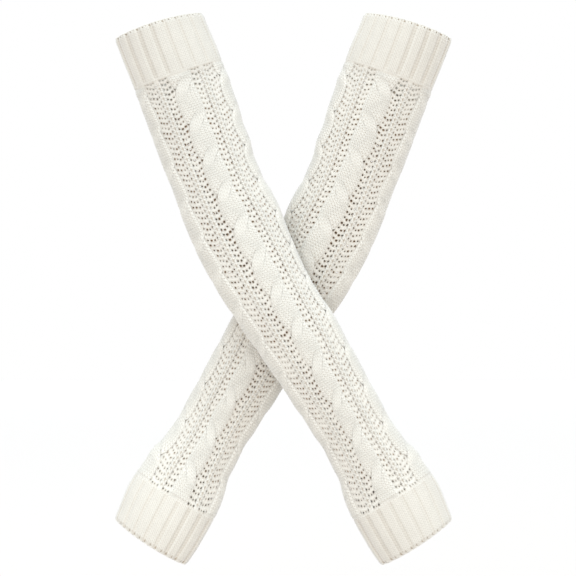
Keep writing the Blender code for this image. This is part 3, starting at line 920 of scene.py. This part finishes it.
def strand_course(points, is_under, cable, strand):
    """How far down, round and up one strand of a cable lies, and its groove values."""
    rows_down = row_down(level_ends(points, KNIT_ROWS), KNIT_ROWS)
    nearest, away = from_crossing(rows_down)
    upper = (nearest + strand) % 2 == 0
    side = points[:, 0] / 2 - 1
    slant = np.where(upper, 1, -1) * side * CROSSING_TILT
    slant = slant * smooth_rise(1 - abs(away) / CROSSING_REACH)
    down = np.clip(rows_down + slant, SLEEVE_START, SLEEVE_END)
    away = np.clip(away + slant / REPEAT, -0.5, 0.5)
    near = smooth_rise(1 - abs(away + np.where(upper, -0.03, 0.06)) / CROSSING_REACH)
    over_left, over_right, under_left, under_right = (np.interp(away, *edge) for edge in EDGES)
    left = np.where(upper, over_left, under_left)
    right = np.where(upper, over_right, under_right)
    across = left + (right - left) * (side + 1) / 2
    # the lower strand dips as it nears the upper one's edge, and more once it is under it; the
    # side cables are pulled flatter round the arm than the one in front
    flat = 1 - SIDE_FLAT * uphill(cable) ** 2
    beside = np.maximum(over_left - across, across - over_right)
    dip = flat * CROSSING_DIP * near * smooth_rise(1 - np.maximum(beside, 0) / 7)
    dip = dip + TUCKED_DIP * smooth_rise(-beside / 2)
    lift = near * (CROSSING_LIFT - (EDGE_ROUND + SIDE_ROUND * (1 - flat)) * side**4)
    # flat in the middle and rounded down at the edges
    height = CABLE_HEIGHT * (1 - np.clip(np.abs(across / CABLE_EDGE), 0, 1) ** 6)
    height = height + np.where(upper, lift, -dip)
    # stitches that are carried across are stretched smooth
    relief = band_relief(points, is_under, down) * np.where(upper, 1 - 0.3 * near, 1)
    height = JOIN_HEIGHT + (height - JOIN_HEIGHT) * away_from_cuffs(down, SETTLE) + relief
    # painted shade between stitches, a fifth less on the stretched strand on top at a crossing
    groove = crease(relief) * np.where(upper, 1 - 0.2 * near, 1)
    drawn = np.where(across < 0, DRAWN_LEFT, DRAWN_RIGHT) * drawn_in_at(down)
    # the underside is a little narrower, so that it never shows
    units = cable + across * np.where(is_under, 0.96, 1) * (CABLE_WIDTH - drawn)
    return down, units, height, groove


def ridge_course(points, is_under, ridge):
    """The same for a ridge, with a dimple in its middle at each row of lace."""
    side = points[:, 0] - 1
    down = sagged(level_ends(points, KNIT_ROWS), KNIT_ROWS, abs(side) * RIDGE_HALF_UNITS)
    angle = RIDGE_TURN * side
    relief = band_relief(points, is_under, down)
    once_a_row = np.clip(np.cos(math.pi * points[:, 1]), 0, 1) ** 2
    dimple = np.exp(-(side / DIMPLE_WIDE) ** 2) * once_a_row
    off = RIDGE_HALF_UNITS * np.sin(angle) / math.sin(RIDGE_TURN)
    off = off + relief * np.sin(angle) / (girth_at(down) / ROUND_UNITS)
    height = RIDGE_HEIGHT + RIDGE_DOME * np.cos(angle) * away_from_cuffs(down, SETTLE)
    height = height + relief * np.cos(angle) - DIMPLE * dimple
    return down, ridge + off, height, crease(relief) + DIMPLE_GROOVE * dimple


def make_bands(name, warmer, chart, band_course, each_band):
    """Bands of stitches as one object, laid along the course that each of them takes."""
    points, quads, is_under = band_chart(chart)
    quads = facing_out(quads, warmer)
    outer, grooves = [], []
    for band in each_band:
        down, units, height, groove = band_course(points, is_under, *band)
        # the ends are tucked in under the cuffs, and shaded at the elbow
        height = height - BAND_TUCK * (1 - away_from_cuffs(down, 2.0))
        groove = groove + ELBOW_SHADE * (1 - smooth_rise((down - SLEEVE_START) / 2.5))
        height = np.where(is_under, BAND_FLOOR, height)
        outer.append(onto_tube(down, crept(down, units), height, warmer))
        grooves.append(np.where(is_under, UNDER_GROOVE, groove))
    place = np.stack((points[:, 0] / points[:, 0].max(),
                      np.clip(points[:, 1] / points[:, 1].max(), 0, 1)), axis=1)
    place[is_under, 0] = place[is_under, 0] * 0.02
    place = place[quads.ravel()] * (0.9, 0.98)
    # each band has a column of the baking map to itself
    count = len(each_band)
    places = [(place + (0.05 + k, 0.01)) / (count, 1) for k in range(count)]
    quads = [quads + k * len(points) for k in range(count)]
    thing = knit_object(name, *map(np.concatenate, (outer, quads, grooves, places)), YARN[warmer])
    close_ends(thing)
    return thing


strands = [(cable, strand) for cable in CABLES for strand in range(2)]
cables, ridges = {}, {}
for warmer in WARMERS:
    cables[warmer] = make_bands(f"{warmer}_rope_cables", warmer, charts["strand"],
                                strand_course, strands)
    ridges[warmer] = make_bands(f"{warmer}_ridges", warmer, charts["ridge"],
                                ridge_course, [(ridge,) for ridge in RIDGES])
print_faces(*cables.values(), *ridges.values())

# %% [markdown]
# ## Bind-off edges
# The last row is closed with a chain of loops, each lying over the next: one link to every two
# stitches, slightly proud of the ribs.

# %% Chain edges
LINKS = 34
LINK_HALF_WIDE, LINK_HALF_HIGH = 0.55, 0.95  # in mm, along the tube and out of it
CHAIN_LIFT = 0.5  # above the middle of the wall
CHAIN_CURL = 0.7  # and in by this share of the rim's curl


def chain_link():
    """A plump link: a six-sided spindle along the edge."""
    rings = ((0.02, 0.35), (0.3, 1.0), (0.7, 1.0), (0.98, 0.35))
    points = [(x, size * math.cos(math.pi * k / 3), size * math.sin(math.pi * k / 3))
              for x, size in rings for k in range(6)]
    faces = [(6 * r + k, 6 * r + (k + 1) % 6, 6 * r + 6 + (k + 1) % 6, 6 * r + 6 + k)
             for r in range(3) for k in range(6)]
    # each end is closed by two faces
    faces += [(3, 2, 1, 0), (5, 4, 3, 0), (18, 19, 20, 21), (18, 21, 22, 23)]
    return new_mesh_object("chain_link", points, faces)


charts["chain"] = knit_chart(chain_link(), LINKS, 1)


def make_chain(warmer, end):
    """The bind-off round one rim."""
    points, quads, rim = charts["chain"]
    link, along, out = points.T
    start, stop, groove_units = CUFFS[end]
    at_rim = LINK_HALF_WIDE if end == "elbow" else LENGTH - LINK_HALF_WIDE
    down = at_rim + LINK_HALF_WIDE * along
    units = groove_units + link / LINKS * ROUND_UNITS
    middle = rib_rise(link / 2, units) - CUFF_WALL / 2 + CHAIN_LIFT - CHAIN_CURL * CURL
    points = onto_tube(down, units, middle + LINK_HALF_HIGH * out, warmer)
    quads = facing_out(quads, warmer)
    places = np.stack((link / LINKS, along * 0.1 + 0.5 + out * 0.2), axis=1)[quads.ravel()]
    # painted shade: each link darker towards the cloth and lighter on its outer side
    return knit_object(f"{warmer}_{end}_bind_off", points, quads, 0.2 - 0.2 * out, places,
                       YARN[warmer])


chains = {(warmer, end): make_chain(warmer, end) for warmer in WARMERS for end in CUFFS}
print_faces(*chains.values())

# %% [markdown]
# ## What each piece stands for
# Every knitted piece rides on the one body, and the cloths take the place of the plain walls.

# %% Ride and replace
for stitch in (knit_stitch, rib_stitches, yarn_over, bpy.data.objects["chain_link"]):
    bpy.data.objects.remove(stitch)
for warmer in WARMERS:
    # the wall that each cloth stands for, what is knitted in one with it, its girth and length
    cloths = [("cabled_sleeve", grounds[warmer], [cables[warmer], ridges[warmer]],
               girth_at(np.arange(45, 400, 5)).mean(), SLEEVE_END - SLEEVE_START)]
    for end, middle in (("elbow", 20), ("wrist", 420)):
        start, stop, groove_units = CUFFS[end]
        cloths.append((f"{end}_cuff", cuffs[warmer, end], [chains[warmer, end]],
                       girth_at(middle), stop - start))
    for wall, cloth, knitted_in, girth, length in cloths:
        for piece in (cloth, *knitted_in):
            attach(piece, "root")
        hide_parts(f"{warmer}_{wall}")

# %% [markdown]
# ## Studio
# A pale floor and a white surround that gives soft light from everywhere. A large cool lamp hangs
# high on each side, one stands behind the camera, and a low strip lamp lifts the wrists.

# %% Camera, light and floor
COOL = (0.74, 0.90, 1.0)
# place, width and height in metres, power in watts and colour
LAMPS = {
    "upper_right_lamp": ((2.0, -2.0, 5.0), 2.0, 2.0, 120.0, COOL),
    "upper_left_lamp": ((-2.0, -2.0, 5.0), 2.0, 2.0, 120.0, COOL),
    "front_lamp": ((-0.8, -4.0, 0.6), 2.0, 2.0, 26.0, (0.98, 0.98, 1.0)),
    "low_lamp": ((0.08, -0.42, -0.2), 0.6, 0.1, 0.44, (0.94, 0.98, 1.0)),
}
FLOOR_LEVEL = -0.26
FLOOR_CORNERS = ((-6.0, -6.0), (6.0, -6.0), (6.0, 6.0), (-6.0, 6.0))
camera_data = bpy.data.cameras.new("camera")
camera_data.lens = 164.8
camera_data.sensor_width = 36.0
camera = add_object("camera", camera_data)
camera.location = (0.0034, -2.0, 0.0215)
camera.rotation_euler = (math.radians(90), 0.0, 0.0)
bpy.context.scene.camera = camera

for name, (place, wide, high, power, colour) in LAMPS.items():
    lamp_data = bpy.data.lights.new(name, "AREA")
    lamp_data.shape = "RECTANGLE"
    lamp_data.size = wide
    lamp_data.size_y = high
    lamp_data.energy = power
    lamp_data.color = colour
    lamp = add_object(name, lamp_data)
    lamp.location = place
    # a lamp shines along its own -Z, which is turned to the pair
    lamp.rotation_euler = (-Vector(place)).to_track_quat("-Z", "Y").to_euler()

world = bpy.data.worlds.new("white_surround")
world.use_nodes = True
world.node_tree.nodes["Background"].inputs["Color"].default_value = (1.0, 1.0, 1.0, 1.0)
bpy.context.scene.world = world

floor = new_mesh_object("floor", [(*corner, FLOOR_LEVEL) for corner in FLOOR_CORNERS],
                        [(0, 1, 2, 3)])
# graduated paper: lighter towards the back, where less of the lamps' light falls
paper = bpy.data.materials.new("matt_graduated_paper")
paper.use_nodes = True
shader = paper.node_tree.nodes["Principled BSDF"]
shader.inputs["Roughness"].default_value = 0.9
place = add_node(paper.node_tree, "ShaderNodeTexCoord")
back = add_node(paper.node_tree, "ShaderNodeSeparateXYZ", links=[(place.outputs["Object"], 0)])
share = add_node(paper.node_tree, "ShaderNodeMapRange", values={"From Min": 0.5, "From Max": 5.7},
                 links=[(back.outputs["Y"], "Value")])
grade = add_node(paper.node_tree, "ShaderNodeValToRGB", links=[(share.outputs[0], "Fac")])
grade.color_ramp.elements[0].color = from_hex("#dbd5d1")
grade.color_ramp.elements[1].color = from_hex("#f8f7f6")
paper.node_tree.links.new(grade.outputs["Color"], shader.inputs["Base Color"])
floor.data.materials.append(paper)
bpy.context.scene.view_settings.view_transform = "Standard"
print("camera at", tuple(round(v, 3) for v in camera.location))
